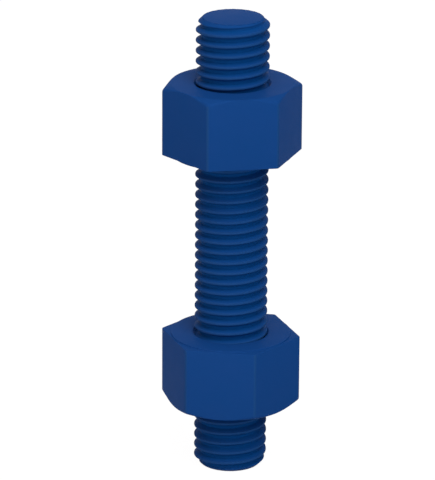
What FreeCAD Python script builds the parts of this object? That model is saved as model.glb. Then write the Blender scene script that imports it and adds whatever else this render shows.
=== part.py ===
"""A fully threaded stud with a heavy hex nut near each end, standing upright.

All sizes are in millimetres. The origin is the middle of the stud's lower end and +Z runs
along its axis. +X is to the right and +Y away from someone who looks at the front.
"""
import FreeCAD, Part
import math
import os

from FreeCAD import Vector

AXIS = Vector(0, 0, 1)
ORIGIN = Vector(0, 0, 0)

# Stud: a 5/8 inch coarse thread over its whole length of 4 inches
stud_length = 101.6
thread_diameter = 15.875
threads_per_inch = 11
end_chamfer = 1.45             # 45 degree cone at both ends, down below the thread's root
groove_start = 1.825           # height where the middle of the groove first crosses the +X side

# Thread form. The bare standard has a crest of an eighth of the pitch: the coating widens it
flank_half_angle = 30.0
crest_share = 1 / 6            # flat width of the crest, as a share of the pitch
root_share = 1 / 4             # flat width of the root, as a share of the pitch

# Heavy hex nut. Its outer face is chamfered, and its bearing face is a low round washer face
nut_height = 15.875
nut_across_flats = 26.6
nut_corner_radius = 0.5        # the rolled edges between the six flats
nut_chamfer_inset = 0.05       # the chamfer's circle on the outer face lies this far inside the flats
nut_chamfer_angle = 25.0       # between the chamfer's cone and the outer face
washer_face_diameter = 26.15
washer_face_thickness = 0.3
nut_countersink = 0.31         # width and depth of the 45 degree cone at both ends of the bore
nut_thread_clearance = 0.1     # between the stud's crests and the nut's bore, all round

# Where the nuts stand: bearing faces towards each other, outer faces this far in from the stud's ends
nut_inset = 14.55
upper_nut_turn = 9.7           # direction of one corner, in degrees from +X towards +Y
lower_nut_turn = -9.8

# How the thread is drawn: helix points in a turn, and turns made too long before the ends are cut
points_per_turn = 12
spare_turns = 2

pitch = 25.4 / threads_per_inch
crest_flat = crest_share * pitch
root_flat = root_share * pitch
flank_rise = (pitch - crest_flat - root_flat) / 2
thread_depth = flank_rise / math.tan(math.radians(flank_half_angle))
crest_radius = thread_diameter / 2
root_radius = crest_radius - thread_depth


def revolved(profile):
    """A solid of revolution about Z, from the corners (radius, height) of its half section."""
    corners = [Vector(radius, 0, height) for radius, height in profile + profile[:1]]
    return Part.Face(Part.makePolygon(corners)).revolve(ORIGIN, AXIS, 360)


def helix(radius, start):
    """One smooth right-hand turn about Z that leaves the +X side at the height start."""
    angles = [2 * math.pi * step / points_per_turn for step in range(points_per_turn + 1)]
    rise = pitch / (2 * math.pi)
    points = [Vector(radius * math.cos(a), radius * math.sin(a), start + rise * a) for a in angles]
    along = Vector(0, radius, rise)
    curve = Part.BSplineCurve()
    curve.interpolate(
        Points=points, Parameters=angles, InitialTangent=along, FinalTangent=along, Scale=False
    )
    return curve.toShape()


def thread_section():
    """The thread's outline over one pitch, as corners (radius, height) from the root upwards."""
    upper_crest = flank_rise + crest_flat
    return [
        (root_radius, 0),
        (crest_radius, flank_rise),
        (crest_radius, upper_crest),
        (root_radius, upper_crest + flank_rise),
        (root_radius, pitch),
    ]


def endless_thread(turns, bottom):
    """A threaded bar of whole turns. Both of its ends are helical steps, to be cut off square."""
    section = thread_section()
    one_turn = []
    for (radius, height), (next_radius, next_height) in zip(section, section[1:]):
        strip = Part.makeRuledSurface(helix(radius, height), helix(next_radius, next_height))
        one_turn.append(strip)
    faces = []
    for turn in range(turns):
        for strip in one_turn:
            faces.append(strip.translated(Vector(0, 0, bottom + turn * pitch)))
    for end in (bottom, bottom + turns * pitch):
        axis_line = Part.makeLine(Vector(0, 0, end), Vector(0, 0, end + pitch))
        faces.append(Part.makeRuledSurface(axis_line, helix(root_radius, end)))
        step = [(0, 0)] + section + [(0, pitch), (0, 0)]
        corners = [Vector(radius, 0, end + height) for radius, height in step]
        faces.append(Part.Face(Part.makePolygon(corners)))
    shell = Part.makeShell(faces)
    shell.sewShape()
    bar = Part.Solid(shell)
    if bar.Volume < 0:
        bar.reverse()
    return bar


def end_cutter(face_height, outwards):
    """What a lathe takes off one end of the bar: all beyond the face and outside the chamfer."""
    flat_radius = crest_radius - end_chamfer
    reach = thread_diameter
    beyond = face_height + outwards * 2 * spare_turns * pitch
    cutter = revolved([
        (0, face_height),
        (flat_radius, face_height),
        (reach, face_height - outwards * (reach - flat_radius)),
        (reach, beyond),
        (0, beyond),
    ])
    # Its own seam is turned away from the +X side, where the thread's turns meet
    cutter.rotate(ORIGIN, AXIS, 90)
    return cutter


def stud():
    """The stud: a threaded bar, longer than needed, cut square and chamfered at both ends."""
    root_middle = pitch - root_flat / 2
    bottom = groove_start - root_middle - spare_turns * pitch
    turns = math.ceil((stud_length - bottom) / pitch) + 1
    bar = endless_thread(turns, bottom)
    for face_height, outwards in ((stud_length, 1), (0, -1)):
        bar = bar.cut(end_cutter(face_height, outwards))
    return bar.Solids[0]


def heavy_nut(outer_face, outwards, turn):
    """A heavy hex nut: outwards is 1 if its outer face looks up, turn the direction of a corner."""
    corner_radius = nut_across_flats / 2 / math.cos(math.radians(30))
    corners = []
    for degrees in range(0, 361, 60):
        angle = math.radians(outwards * turn + degrees)
        corners.append(Vector(corner_radius * math.cos(angle), corner_radius * math.sin(angle), 0))
    hexagon = Part.Face(Part.makePolygon(corners)).extrude(Vector(0, 0, nut_height))
    upright = [edge for edge in hexagon.Edges if edge.Vertexes[0].Z != edge.Vertexes[1].Z]
    hexagon = hexagon.makeFillet(nut_corner_radius, upright)

    bore_radius = crest_radius + nut_thread_clearance
    sink_radius = bore_radius + nut_countersink
    face_radius = nut_across_flats / 2 - nut_chamfer_inset
    washer_radius = washer_face_diameter / 2
    reach = corner_radius + nut_corner_radius
    drop = (reach - face_radius) * math.tan(math.radians(nut_chamfer_angle))
    turned_ring = revolved([
        (bore_radius, nut_countersink),
        (sink_radius, 0),
        (washer_radius, 0),
        (washer_radius, washer_face_thickness),
        (reach, washer_face_thickness),
        (reach, nut_height - drop),
        (face_radius, nut_height),
        (sink_radius, nut_height),
        (bore_radius, nut_height - nut_countersink),
    ])
    nut = hexagon.common(turned_ring).Solids[0]
    if outwards < 0:
        nut.rotate(ORIGIN, Vector(1, 0, 0), 180)
    return nut.translated(Vector(0, 0, outer_face - outwards * nut_height))


def main():
    parts = {
        "stud": stud(),
        "upper_nut": heavy_nut(stud_length - nut_inset, 1, upper_nut_turn),
        "lower_nut": heavy_nut(nut_inset, -1, lower_nut_turn),
    }
    os.makedirs("parts", exist_ok=True)
    for name, shape in parts.items():
        shape.exportStep("parts/" + name + ".step")
        print(name, "solids", len(shape.Solids), "faces", len(shape.Faces), "volume", round(shape.Volume, 1))


main()
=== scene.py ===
# %% [markdown]
# # Dressing a stud bolt set
#
# The object is a threaded stud with a heavy hex nut near each end, all three in the same
# satin blue coating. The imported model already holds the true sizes, so this script only adds
# what a camera sees: a thread with soft edges, nuts that are threaded inside, the coating, and
# a plain studio. Everything is in metres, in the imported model's own frame.

import math

import bmesh
import bpy
from mathutils import Matrix, Vector


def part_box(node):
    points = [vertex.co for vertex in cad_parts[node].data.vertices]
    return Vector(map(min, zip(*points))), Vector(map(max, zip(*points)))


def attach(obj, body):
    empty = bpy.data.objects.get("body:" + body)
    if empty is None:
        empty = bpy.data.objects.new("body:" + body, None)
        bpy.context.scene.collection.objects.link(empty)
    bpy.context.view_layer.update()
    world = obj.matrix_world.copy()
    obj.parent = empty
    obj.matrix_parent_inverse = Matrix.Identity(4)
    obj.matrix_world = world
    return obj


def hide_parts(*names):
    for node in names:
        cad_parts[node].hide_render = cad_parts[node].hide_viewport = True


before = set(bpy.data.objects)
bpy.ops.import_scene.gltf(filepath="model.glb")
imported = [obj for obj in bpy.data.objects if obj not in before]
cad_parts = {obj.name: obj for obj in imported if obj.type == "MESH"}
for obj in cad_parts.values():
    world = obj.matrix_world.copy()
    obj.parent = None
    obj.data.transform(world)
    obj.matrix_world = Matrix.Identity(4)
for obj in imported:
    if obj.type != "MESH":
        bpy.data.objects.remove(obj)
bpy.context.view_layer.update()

mm = 0.001
full_turn = 2 * math.pi

stud_low, stud_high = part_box("stud")
print("stud", round((stud_high.z - stud_low.z) / mm, 3), "mm long")

# %% [markdown]
# ## Arithmetic that writes nodes
#
# A formula is hard to follow as a heap of Math nodes. So a socket is wrapped in a small class
# whose operators add the nodes: `1 - mask` becomes a Math node set to Subtract. Every other
# kind of node comes from one method, which first sets the node up and then feeds its sockets.
# The same classes serve the Geometry Nodes tree, the materials and the world.


# %% The socket and tree wrappers
class Signal:
    """One output of a node. Arithmetic on signals adds Math nodes to their tree."""

    def __init__(self, graph, socket):
        self.graph = graph
        self.socket = socket

    def __add__(self, other):
        return self.graph.math("ADD", self, other)

    def __radd__(self, other):
        return self.graph.math("ADD", other, self)

    def __sub__(self, other):
        return self.graph.math("SUBTRACT", self, other)

    def __rsub__(self, other):
        return self.graph.math("SUBTRACT", other, self)

    def __mul__(self, other):
        return self.graph.math("MULTIPLY", self, other)

    def __rmul__(self, other):
        return self.graph.math("MULTIPLY", other, self)

    def __truediv__(self, other):
        return self.graph.math("DIVIDE", self, other)

    def output(self, name):
        """Another output of the same node."""
        return Signal(self.graph, find_socket(self.socket.node.outputs, name))


class Graph:
    """A node tree that is filled by the calls below."""

    def __init__(self, tree):
        self.tree = tree

    def node(self, kind, settings=None, inputs=None, output=0):
        """Adds a node of any kind, sets it up, feeds its sockets and gives one of its outputs."""
        node = self.tree.nodes.new(kind)
        for name, value in (settings or {}).items():
            setattr(node, name, value)
        for name, value in (inputs or {}).items():
            socket = find_socket(node.inputs, name)
            if isinstance(value, Signal):
                self.tree.links.new(value.socket, socket)
            else:
                socket.default_value = value
        if not node.outputs:
            return None
        return Signal(self, find_socket(node.outputs, output))

    def math(self, operation, *values):
        """Adds a Math node that is fed with those values."""
        return self.node("ShaderNodeMath", {"operation": operation}, dict(enumerate(values)))


def find_socket(sockets, key):
    """The socket with that number, identifier or name."""
    if isinstance(key, int):
        return sockets[key]
    for socket in sockets:
        if key in (socket.identifier, socket.name):
            return socket
    raise KeyError(key)


def emptied_graph(owner):
    """The node tree of a new material or world, with nothing in it."""
    owner.use_nodes = True
    owner.node_tree.nodes.clear()
    return Graph(owner.node_tree)


# %% [markdown]
# ## The thread as a wrapped sheet
#
# On the real stud, dies roll a V groove round the bar, and it climbs one pitch for each turn.
# A Screw modifier could turn a section into that helix, but its ends would stay ragged steps,
# while a lathe has cut this bar square and chamfered it. So the thread starts as a flat sheet of
# squares, laid out in turns: x is how far round the bar a point lies, and y how far up the
# thread. The node tree wraps the sheet round the axis and shears it by one pitch a turn, so that
# every row of squares follows the thread. Rows that run past an end are pressed flat onto it,
# and Merge by Distance takes them away. The same tree makes the thread inside a nut, with
# `Side` set to -1.

# %% The sizes of a 5/8 inch thread with 11 turns to the inch
inch = 25.4 * mm
threads_per_inch = 11
pitch = inch / threads_per_inch
flank_half_angle = math.radians(30)
flank_slope = 1 / math.tan(flank_half_angle)
crest_radius = 5 / 8 * inch / 2
crest_flat = pitch / 6
root_flat = pitch / 4
root_radius = crest_radius - (pitch - crest_flat - root_flat) / 2 * flank_slope
groove_height = 1.825 * mm        # where the middle of the groove first crosses the +X side
end_chamfer = 1.45 * mm           # height and width of the cone at both ends of the stud

# Where the two flanks of the groove would meet if its root were left sharp
sharp_root_radius = root_radius - root_flat / 2 * flank_slope
print("pitch", round(pitch / mm, 4), "mm, root radius", round(root_radius / mm, 3), "mm")

# %% The node tree that wraps a sheet into a thread
groove_to_crest = 0.5             # in turns, from the middle of one to the middle of the other
merge_distance = 0.001 * mm
thread_inputs = (
    "Pitch",
    "Groove Height",     # where the groove's middle crosses the +X side
    "Tip Radius",        # where the two flanks of the groove would meet
    "Flank Slope",
    "Smallest Radius",
    "Largest Radius",
    "Softness",          # how far the edges of crest and root are rounded
    "Bottom",
    "Top",
    "Rim Radius",        # of the 45 degree cone, where it meets the end face
    "Side",              # 1 round a bar, -1 inside a bore
)


def thread_tree():
    """The tree: a flat sheet goes in and a coated thread comes out."""
    tree = bpy.data.node_groups.new("screw_thread", "GeometryNodeTree")
    tree.interface.new_socket("Geometry", in_out="INPUT", socket_type="NodeSocketGeometry")
    for name in thread_inputs:
        tree.interface.new_socket(name, in_out="INPUT", socket_type="NodeSocketFloat")
    tree.interface.new_socket("Material", in_out="INPUT", socket_type="NodeSocketMaterial")
    tree.interface.new_socket("Geometry", in_out="OUTPUT", socket_type="NodeSocketGeometry")
    graph = Graph(tree)
    given = graph.node("NodeGroupInput")

    # A point of the sheet: how far round the bar and how far up the thread, in turns
    place = graph.node("GeometryNodeInputPosition")
    round_bar = graph.node("ShaderNodeSeparateXYZ", inputs={"Vector": place})
    up_thread = round_bar.output("Y")

    pitch_in = given.output("Pitch")
    groove = given.output("Groove Height")
    bottom = given.output("Bottom")
    top = given.output("Top")
    free_height = groove + (up_thread + round_bar) * pitch_in
    height = graph.math("MINIMUM", graph.math("MAXIMUM", free_height, bottom), top)

    # The groove: distance from its middle, measured along the axis, gives the radius
    turns_up = (height - groove) / pitch_in - round_bar
    turns_off = graph.math("PINGPONG", turns_up, groove_to_crest)
    flank = given.output("Tip Radius") + turns_off * pitch_in * given.output("Flank Slope")
    softness = given.output("Softness")
    above_root = graph.math("SMOOTH_MAX", flank, given.output("Smallest Radius"), softness)
    section = graph.math("SMOOTH_MIN", above_root, given.output("Largest Radius"), softness)

    # The cone at both ends cuts a bar down and opens a bore up
    side = given.output("Side")
    from_end = graph.math("MINIMUM", height - bottom, top - height)
    cone = side * given.output("Rim Radius") + from_end
    radius = side * graph.math("MINIMUM", side * section, cone)

    angle = round_bar * full_turn
    wrapped = graph.node("ShaderNodeCombineXYZ", inputs={
        "X": radius * graph.math("COSINE", angle),
        "Y": radius * graph.math("SINE", angle),
        "Z": height,
    })
    sheet = graph.node("GeometryNodeSetPosition", inputs={
        "Geometry": given.output("Geometry"),
        "Position": wrapped,
    })
    welded = graph.node("GeometryNodeMergeByDistance", inputs={
        "Geometry": sheet,
        "Distance": merge_distance,
    })
    facing = graph.node("GeometryNodeFlipFaces", inputs={
        "Mesh": welded,
        "Selection": graph.math("LESS_THAN", side, 0.0),
    })
    real = graph.node("GeometryNodeRealizeInstances", inputs={"Geometry": facing})
    coated = graph.node("GeometryNodeSetMaterial", inputs={
        "Geometry": real,
        "Material": given.output("Material"),
    })
    graph.node("NodeGroupOutput", inputs={"Geometry": coated})
    return tree


screw_thread = thread_tree()
print("thread tree with", len(screw_thread.nodes), "nodes")

# %% [markdown]
# ## From the tree to a finished piece
#
# The tree needs an object to work on, so each thread gets one for a moment. Its modifier takes
# the sizes by the identifiers of the tree's inputs, because names alone don't reach them. The
# result is then copied into a plain mesh and the helper object goes. Shading is smooth, except
# over edges that turn by more than a limit, which keeps the nut's flats flat.


# %% Helpers for the sheet and for running the tree on it
def flat_sheet(columns, rows):
    """A mesh of squares with its corners at the given places across and up."""
    sheet = bpy.data.meshes.new("flat_sheet")
    corners = [(across, up, 0) for up in rows for across in columns]
    wide = len(columns)
    squares = []
    for row in range(len(rows) - 1):
        for column in range(wide - 1):
            first = row * wide + column
            squares.append((first, first + 1, first + wide + 1, first + wide))
    sheet.from_pydata(corners, [], squares)
    return sheet


def thread_mesh(name, columns, rows_per_turn, material, sizes):
    """The thread as a plain mesh: the tree's result on a sheet that reaches past both ends."""
    first_turn = math.floor((sizes["Bottom"] - groove_height) / pitch - columns[-1])
    last_turn = math.ceil((sizes["Top"] - groove_height) / pitch - columns[0])
    row_count = (last_turn - first_turn) * rows_per_turn
    rows = [first_turn + row / rows_per_turn for row in range(row_count + 1)]
    maker = bpy.data.objects.new(name, flat_sheet(columns, rows))
    bpy.context.scene.collection.objects.link(maker)
    modifier = maker.modifiers.new("thread", "NODES")
    modifier.node_group = screw_thread
    common = {"Pitch": pitch, "Groove Height": groove_height, "Flank Slope": flank_slope}
    values = {**common, **sizes, "Material": material}
    for socket in screw_thread.interface.items_tree:
        if socket.in_out == "INPUT" and socket.name in values:
            modifier[socket.identifier] = values[socket.name]
    seen = maker.evaluated_get(bpy.context.evaluated_depsgraph_get())
    mesh = bpy.data.meshes.new_from_object(seen)
    sheet = maker.data
    bpy.data.objects.remove(maker)
    bpy.data.meshes.remove(sheet)
    return mesh


# %% A helper that hands a finished piece in
sharp_angle = math.radians(40)


def new_piece(name, mesh, body, replaced):
    """An object for a finished mesh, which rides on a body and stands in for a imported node."""
    mesh.name = name
    piece = bpy.data.objects.new(name, mesh)
    bpy.context.scene.collection.objects.link(piece)
    mesh.shade_smooth()
    mesh.set_sharp_from_angle(angle=sharp_angle)
    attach(piece, body)
    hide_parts(replaced)
    print(name, "has", sum(len(face.vertices) - 2 for face in mesh.polygons), "triangles")


# %% [markdown]
# ## The blue coating
#
# Sprayed and baked fluoropolymer, about a fortieth of a millimetre thick, is a deep even blue
# that shines only faintly. Its colour is not quite flat: painted shade makes it a shade deeper
# in the thread's root, a paler band along crests and corners is partly wear and partly a painted
# highlight, and the colour drifts at random over a few millimetres. How much painted shade and how
# much of the paler band a point gets depends on how far it lies from the axis, so the material
# measures that. The stud's end faces lie as near to the axis as the root does, so the painted
# shade also fades out over the height of the end chamfer. The skin has the fine ripple of any
# sprayed film, which breaks up what little it reflects.

# %% The colours and sizes of the coating
coat_blue = (0.0075, 0.052, 0.213, 1)
# The deep colour is random drift, and in the thread's root it is painted shade.
coat_deep_and_shade = (0.0015, 0.049, 0.2, 1)
# A paler colour for crests and corners: partly wear, partly a painted highlight.
coat_worn_and_highlight = (0.0095, 0.056, 0.195, 1)
coat_shine = 0.01
coat_roughness = 0.5
roughness_drift = 0.1             # between the smoothest patches and the roughest
drift_size = 5 * mm
drift_deep_share = 0.4            # of the deep colour, in the deepest patches
root_shade_share = 0.8             # of the deep colour, painted as shade at the thread's root
ripple_size = 0.5 * mm
ripple_height = 0.01 * mm
ripple_strength = 0.3
noise_detail = 2.0
noise_middle = 0.5                # the mean of a noise that goes from 0 to 1
crest_wear_highlight_depth = 0.3 * mm        # how far in from the crests the paler band of wear and painted highlight reaches
corner_wear_highlight_depth = 0.13 * mm      # the same for the corners of a nut
print("the coating drifts over", round(drift_size / mm, 2), "mm")


# %% Helpers for the coating
def noise(graph, place, size):
    """A soft random pattern from 0 to 1, with patches of about that size."""
    return graph.node("ShaderNodeTexNoise", inputs={
        "Vector": place,
        "Scale": 1 / size,
        "Detail": noise_detail,
    })


def ramp(graph, value, start, end, at_start=0.0, at_end=1.0):
    """Goes from at_start to at_end while the value goes from start to end, and stays outside."""
    return graph.node("ShaderNodeMapRange", inputs={
        "Value": value,
        "From Min": start,
        "From Max": end,
        "To Min": at_start,
        "To Max": at_end,
    })


def blended(graph, share, first, second):
    """Two colours blended, with that share of the second."""
    return graph.node("ShaderNodeMix", {"data_type": "RGBA"}, {
        "Factor_Float": share,
        "A_Color": first,
        "B_Color": second,
    }, output="Result_Color")


def distance_from_axis(graph, place):
    """How far a point lies from the Z axis, whatever its height."""
    flat = graph.node("ShaderNodeVectorMath", {"operation": "MULTIPLY"}, {0: place, 1: (1, 1, 0)})
    return graph.node("ShaderNodeVectorMath", {"operation": "LENGTH"}, {0: flat}, output="Value")


def painted_root_shade(graph, place, radius):
    """The share of the deep colour, painted as shade in the stud's thread: most at the root, none
    at the ends.
    """
    height = graph.node("ShaderNodeSeparateXYZ", inputs={"Vector": place}, output="Z")
    from_end = graph.math("MINIMUM", height - stud_low.z, stud_high.z - height)
    past_chamfer = ramp(graph, from_end, 0.0, end_chamfer)
    return ramp(graph, radius, root_radius, crest_radius, root_shade_share, 0.0) * past_chamfer


# %% The coating material
def coating(name, outermost, pale_band_depth, in_thread=False):
    """The coating, paler by wear and painted highlight within that depth of the outermost radius.

    With in_thread, painted shade also deepens its colour towards the root of the stud's thread.
    """
    material = bpy.data.materials.new(name)
    graph = emptied_graph(material)
    place = graph.node("ShaderNodeTexCoord", output="Object")
    drift = noise(graph, place, drift_size)
    ripple = noise(graph, place, ripple_size)
    radius = distance_from_axis(graph, place)

    deep_and_shade_share = drift_deep_share * drift
    # In the stud's thread, painted shade deepens the colour towards the root.
    if in_thread:
        deep_and_shade_share = deep_and_shade_share + painted_root_shade(graph, place, radius)
    under_pale_band = blended(graph, deep_and_shade_share, coat_blue, coat_deep_and_shade)
    # A paler band at the outermost edges, partly wear and partly a painted highlight.
    near_edge = ramp(graph, radius, outermost - pale_band_depth, outermost)
    wear_and_highlight_share = near_edge * (drift + (1 - noise_middle))
    bump = graph.node("ShaderNodeBump", inputs={
        "Height": ripple,
        "Strength": ripple_strength,
        "Distance": ripple_height,
    })
    shader = graph.node("ShaderNodeBsdfPrincipled", inputs={
        "Base Color": blended(graph, wear_and_highlight_share, under_pale_band, coat_worn_and_highlight),
        "Roughness": coat_roughness + roughness_drift * (drift - noise_middle),
        "Specular IOR Level": coat_shine,
        "Normal": bump,
    })
    graph.node("ShaderNodeOutputMaterial", inputs={"Surface": shader})
    print(name, "with", len(material.node_tree.nodes), "nodes")
    return material


stud_coating = coating("stud_coating", crest_radius, crest_wear_highlight_depth, in_thread=True)

# %% [markdown]
# ## The stud
#
# The stud is one sheet, wrapped from end to end, and two flat end faces. The cone at each end
# starts just inside the thread's root, so the sheet ends in an exact circle, and filling that
# circle closes the bar. A small bevel takes the knife edge off it, as the coating does.

# %% Build the stud
stud_columns = 72
stud_rows_per_turn = 24
stud_softness = 0.15 * mm
end_edge_radius = 0.12 * mm
end_edge_segments = 3


def open_rims(edit):
    """The edges that have a face on one side only."""
    return [edge for edge in edit.edges if edge.is_boundary]


def stud_mesh():
    """The stud: a thread from end to end, closed by two flat faces with a soft edge."""
    columns = [column / stud_columns for column in range(stud_columns + 1)]
    mesh = thread_mesh("stud_thread", columns, stud_rows_per_turn, stud_coating, {
        "Tip Radius": sharp_root_radius,
        "Smallest Radius": root_radius,
        "Largest Radius": crest_radius,
        "Softness": stud_softness,
        "Bottom": stud_low.z,
        "Top": stud_high.z,
        "Rim Radius": crest_radius - end_chamfer,
        "Side": 1.0,
    })
    edit = bmesh.new()
    edit.from_mesh(mesh)
    rims = open_rims(edit)
    bmesh.ops.holes_fill(edit, edges=rims, sides=0)
    bmesh.ops.bevel(
        edit,
        geom=rims,
        offset=end_edge_radius,
        segments=end_edge_segments,
        profile=0.5,
        affect="EDGES",
    )
    bmesh.ops.recalc_face_normals(edit, faces=edit.faces)
    edit.to_mesh(mesh)
    print("stud: open edges left", len(open_rims(edit)))
    edit.free()
    return mesh


new_piece("coated_stud", stud_mesh(), "stud", "stud")

# %% [markdown]
# ## The nuts
#
# A heavy hex nut is a slice of hexagonal bar. A lathe has chamfered its outer end, and turned
# the end that bears on the flange into a low round washer face. Where the chamfer's cone meets
# a flat it leaves a curved edge, and cutting a hexagon with a cone by a Boolean would give just
# that, but with ragged triangles that a bevel can't follow. So the nut is drawn direction by
# direction instead. Seen from the axis, each direction has its own section: over the washer
# face, up the side, and back down the chamfer. Every corner of a section is an arc, and sections
# lie close together where the hexagon turns its corner.

# %% The sizes of a heavy hex nut
half_flats = 26.6 / 2 * mm
corner_rounding = 0.7 * mm
chamfer_inset = 0.05 * mm         # from the flats to the chamfer's circle on the outer face
chamfer_slope = math.tan(math.radians(25))
washer_radius = 26.15 / 2 * mm
washer_thickness = 0.3 * mm
thread_clearance = 0.1 * mm       # between the stud's thread and the nut's
countersink = 0.31 * mm
ridge_radius = 6.87 * mm          # how far in the nut's thread reaches
bore_radius = crest_radius + thread_clearance
rim_radius = bore_radius + countersink

sixth = math.radians(60)          # from one corner of the hexagon to the next

# The arcs that round the corners are centred on the corners of a smaller hexagon
inner_half_flats = half_flats - corner_rounding
arc_centre = inner_half_flats / math.cos(sixth / 2)
corner_radius = arc_centre + corner_rounding

# Seen from the axis, an arc spans this angle to either side of its corner
corner_half_angle = sixth / 2 - math.atan(inner_half_flats * math.tan(sixth / 2) / half_flats)
print("nut", round(corner_radius / mm, 3), "mm from the axis to its corners")

nut_coating = coating("nut_coating", corner_radius, corner_wear_highlight_depth)


# %% How far out the hexagon's side lies
def side_distance(from_corner):
    """The side's distance from the axis, at an angle of at most 30 degrees from a corner."""
    if abs(from_corner) >= corner_half_angle:
        return half_flats / math.cos(sixth / 2 - abs(from_corner))
    off_line = arc_centre * math.sin(from_corner)
    return arc_centre * math.cos(from_corner) + math.sqrt(corner_rounding ** 2 - off_line ** 2)


print("nut", round(side_distance(sixth / 2) / mm, 3), "mm from the axis to its flats")

# %% The section in one direction
washer_edge_radius = 0.1 * mm
bearing_edge_radius = 0.08 * mm   # between the washer face's step and a flat
chamfer_edge_radius = 0.8 * mm    # between the chamfer and a flat, where there is room
face_edge_radius = 0.8 * mm       # between the chamfer and the outer face, where there is room
steps_per_arc = 4
arc_share = 0.45                  # of the shorter side next to an arc, which it takes at most


def rounded(corners, radii):
    """The outline through those corners, with each inner corner turned into an arc.

    An arc takes up only its share of a side next to it, so it shrinks where a side is short.
    """
    outline = [corners[0]]
    for before, corner, after, largest in zip(corners, corners[1:], corners[2:], radii):
        back = (before - corner).normalized()
        on = (after - corner).normalized()
        half = back.angle(on) / 2
        shorter = min((before - corner).length, (after - corner).length)
        # The arc takes this length off both sides, which sets its radius
        cut = min(largest / math.tan(half), arc_share * shorter)
        radius = cut * math.tan(half)
        centre = corner + (back + on).normalized() * (radius / math.sin(half))
        start = (corner + back * cut - centre).normalized()
        end = (corner + on * cut - centre).normalized()
        for step in range(steps_per_arc + 1):
            outline.append(centre + start.slerp(end, step / steps_per_arc) * radius)
    outline.append(corners[-1])
    return outline


def nut_section(from_corner, height):
    """One section, as (radius, height above the bearing face), from one rim to the other."""
    side = side_distance(from_corner)
    face_radius = half_flats - chamfer_inset
    corners = [
        Vector((rim_radius, 0)),
        Vector((washer_radius, 0)),
        Vector((washer_radius, washer_thickness)),
        Vector((side, washer_thickness)),
        Vector((side, height - (side - face_radius) * chamfer_slope)),
        Vector((face_radius, height)),
        Vector((rim_radius, height)),
    ]
    radii = [
        washer_edge_radius,
        bearing_edge_radius,
        bearing_edge_radius,
        chamfer_edge_radius,
        face_edge_radius,
    ]
    return rounded(corners, radii)


# %% The directions of the sections
nut_corners = 6
steps_in_corner = 6
steps_on_flat = 12


def nut_directions(corner_direction):
    """All directions of sections in radians, each with its angle from the nearest corner."""
    flat_span = sixth - 2 * corner_half_angle
    directions = []
    for corner in range(nut_corners):
        middle = math.radians(corner_direction) + corner * sixth
        for step in range(steps_in_corner):
            off = corner_half_angle * (2 * step / steps_in_corner - 1)
            directions.append((middle + off, off))
        for step in range(steps_on_flat):
            off = corner_half_angle + flat_span * step / steps_on_flat
            near = off if off <= sixth / 2 else off - sixth
            directions.append((middle + off, near))
    return directions


print("sections round a nut:", len(nut_directions(0)))

# %% [markdown]
# ## Threaded nuts
#
# A nut's bore is the thread tree again, turned inside out. Its sheet has one column for each
# direction of a section, so bore and outside meet point on point at both rims, and one merge
# closes the nut. The thread inside has the stud's pitch and phase and stands clear of it.

# %% One nut as a mesh
nut_rows_per_turn = 20
nut_softness = 0.2 * mm
weld_distance = 0.002 * mm


def nut_bore(name, directions, low, high):
    """The thread inside a nut, with one column for each direction and one to close the turn."""
    columns = [direction / full_turn for direction, near in directions]
    columns.append(columns[0] + 1)
    return thread_mesh(name, columns, nut_rows_per_turn, nut_coating, {
        "Tip Radius": sharp_root_radius + thread_clearance,
        "Smallest Radius": ridge_radius,
        "Largest Radius": bore_radius,
        "Softness": nut_softness,
        "Bottom": low,
        "Top": high,
        "Rim Radius": rim_radius,
        "Side": -1.0,
    })


def nut_mesh(name, low, high, outwards, corner_direction):
    """One nut. Its outer face looks up if outwards is 1 and down if it is -1."""
    directions = nut_directions(corner_direction)
    mesh = nut_bore(name + "_thread", directions, low, high)
    bearing_face = low if outwards > 0 else high
    edit = bmesh.new()
    edit.from_mesh(mesh)
    sections = []
    for direction, near in directions:
        across = Vector((math.cos(direction), math.sin(direction), 0))
        section = []
        for radius, along in nut_section(near, high - low):
            height = Vector((0, 0, bearing_face + outwards * along))
            section.append(edit.verts.new(across * radius + height))
        sections.append(section[::outwards])
    for section, following in zip(sections, sections[1:] + sections[:1]):
        for row in range(len(section) - 1):
            corners = (section[row], following[row], following[row + 1], section[row + 1])
            edit.faces.new(corners)
    bmesh.ops.remove_doubles(edit, verts=edit.verts, dist=weld_distance)
    print(name, "open edges left", len(open_rims(edit)))
    edit.to_mesh(mesh)
    edit.free()
    return mesh


# %% Build both nuts
upper_nut_turn = 9.7              # direction of one corner, in degrees from +X towards +Y
lower_nut_turn = -9.8

for nut, outwards, turn in (("upper_nut", 1, upper_nut_turn), ("lower_nut", -1, lower_nut_turn)):
    nut_low, nut_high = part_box(nut)
    name = "coated_" + nut
    mesh = nut_mesh(name, nut_low.z, nut_high.z, outwards, turn)
    new_piece(name, mesh, nut, nut)

# %% [markdown]
# ## The studio
#
# The photograph has nothing behind the object but white. A floor bright enough to look white
# would also throw light up under every thread and wash the relief out. So the floor is a pale
# grey to the light that bounces about, and white only to rays from the camera and to
# reflections, which the Light Path node tells apart. A little of its true surface is left in
# the mix, which keeps a faint shadow where the stud stands. The floor lies a hair below the
# stud's lower end, because two surfaces in one plane would flicker.

# %% What the camera sees directly
background_white = (1, 1, 1, 1)


def seen_directly(graph):
    """1 for rays from the camera, and for those that a mirror or glass sends on."""
    path = graph.node("ShaderNodeLightPath", output="Is Camera Ray")
    glossy = path.output("Is Glossy Ray")
    mirrored = graph.math("MAXIMUM", glossy, path.output("Is Transmission Ray"))
    return graph.math("MAXIMUM", path, mirrored)


# %% The floor
floor_radius = 6.0
floor_segments = 64
floor_drop = 0.02 * mm
floor_grey = (0.6, 0.6, 0.6, 1)
white_share = 0.9
white_strength = 1.08             # makes up for the share of grey, so that the lit floor is white


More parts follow.
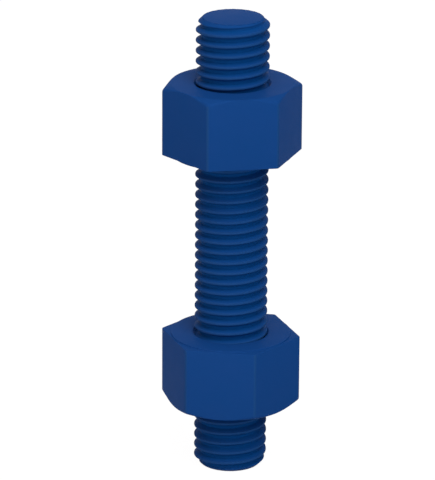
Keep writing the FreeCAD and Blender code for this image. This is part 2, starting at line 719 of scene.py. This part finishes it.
def floor_paper():
    """Grey paper for the light that it throws back, and white for the camera."""
    material = bpy.data.materials.new("floor_paper")
    graph = emptied_graph(material)
    paper = graph.node("ShaderNodeBsdfDiffuse", inputs={"Color": floor_grey})
    white = graph.node("ShaderNodeEmission", inputs={
        "Color": background_white,
        "Strength": white_strength,
    })
    mixed = graph.node("ShaderNodeMixShader", inputs={
        0: white_share * seen_directly(graph),
        1: paper,
        2: white,
    })
    graph.node("ShaderNodeOutputMaterial", inputs={"Surface": mixed})
    return material


def make_floor():
    """A round floor, much wider than the picture."""
    edit = bmesh.new()
    bmesh.ops.create_circle(
        edit,
        cap_ends=True,
        segments=floor_segments,
        radius=floor_radius,
        matrix=Matrix.Translation((0, 0, -floor_drop)),
    )
    mesh = bpy.data.meshes.new("floor")
    edit.to_mesh(mesh)
    edit.free()
    mesh.materials.append(floor_paper())
    floor = bpy.data.objects.new("floor", mesh)
    bpy.context.scene.collection.objects.link(floor)
    return floor


print("floor", round(make_floor().dimensions.x, 1), "m across")

# %% The world
world_strength = 0.44


def make_world():
    """A dim even sky for the object, and white for the camera."""
    world = bpy.data.worlds.new("studio")
    graph = emptied_graph(world)
    dome = graph.node("ShaderNodeBackground", inputs={"Strength": world_strength})
    white = graph.node("ShaderNodeBackground", inputs={"Color": background_white, "Strength": 1.0})
    mixed = graph.node("ShaderNodeMixShader", inputs={0: seen_directly(graph), 1: dome, 2: white})
    graph.node("ShaderNodeOutputWorld", inputs={"Surface": mixed})
    bpy.context.scene.world = world


make_world()
print("world lights the object at a strength of", world_strength)

# %% [markdown]
# ## The lamps
#
# The nuts' faces tell how the real set was lit. Their tops and fronts are bright, and the faces
# to the left are dimmer and less blue. Square lamps a metre away and more than half a metre wide
# give that with soft edges: the key lamp above the camera and to its right, a weaker one in
# front, and one overhead. A lamp behind keeps the sides that the photograph hides as easy to
# read. A warm lamp at the left takes the edge off the blue there. The last two stay out of
# reflections, because the flat tops would show them as stains.

# %% Set up the soft lamps
object_middle = Vector((0, 0, 50 * mm))
lamp_distance = 1.0
lamp_size = 0.6
plain_white = (1.0, 1.0, 1.0)
warm_orange = (1.0, 0.15, 0.05)


def soft_lamp(name, azimuth, elevation, power, colour=plain_white, in_gloss=True):
    """A square lamp that faces the object. Azimuth 0 is the camera's side, 90 is the right.

    Both angles are in degrees. Without in_gloss, reflections don't show the lamp.
    """
    lamp = bpy.data.lights.new(name, "AREA")
    lamp.size = lamp_size
    lamp.energy = power
    lamp.color = colour
    holder = bpy.data.objects.new(name, lamp)
    bpy.context.scene.collection.objects.link(holder)
    turn = math.radians(azimuth)
    rise = math.radians(elevation)
    level = math.cos(rise)
    out = Vector((math.sin(turn) * level, -math.cos(turn) * level, math.sin(rise)))
    holder.location = object_middle + out * lamp_distance
    holder.rotation_euler = (-out).to_track_quat("-Z", "Y").to_euler()
    holder.visible_glossy = in_gloss
    print(name, power, "W")


soft_lamp("key_lamp", azimuth=22, elevation=48, power=4.7)
soft_lamp("front_lamp", azimuth=-3, elevation=5, power=3.0)
soft_lamp("top_lamp", azimuth=-10, elevation=70, power=2.4)
soft_lamp("back_lamp", azimuth=180, elevation=5, power=3.0, in_gloss=False)
soft_lamp("warm_lamp", azimuth=-60, elevation=15, power=3.0, colour=warm_orange, in_gloss=False)

# %% [markdown]
# ## The camera
#
# The photograph looks down on the object by about nineteen degrees through a long lens, so
# that upright edges stay almost parallel. The object's middle sits a little right of the
# picture's centre, and the camera leans by a third of a degree.

# %% Place the camera
camera_elevation = math.radians(18.693)
camera_lean = math.radians(0.348)
camera_distance = 871.3 * mm
focal_length = 300.97             # in millimetres, for a sensor 36 mm wide
aim_left = 3.02 * mm
aim_up = 1.33 * mm
nearest_seen = 10 * mm
farthest_seen = 20.0

lens = bpy.data.cameras.new("camera")
lens.lens = focal_length
lens.clip_start = nearest_seen
lens.clip_end = farthest_seen
camera = bpy.data.objects.new("camera", lens)
bpy.context.scene.collection.objects.link(camera)
tilt = Matrix.Rotation(math.radians(90) - camera_elevation, 4, "X")
aim = object_middle + tilt @ Vector((-aim_left, aim_up, 0))
stand = Matrix.Translation(aim + tilt @ Vector((0, 0, camera_distance)))
camera.matrix_world = stand @ tilt @ Matrix.Rotation(camera_lean, 4, "Z")
bpy.context.scene.camera = camera
bpy.context.scene.view_settings.view_transform = "Standard"
print("camera", [round(along / mm, 1) for along in camera.matrix_world.translation], "mm")
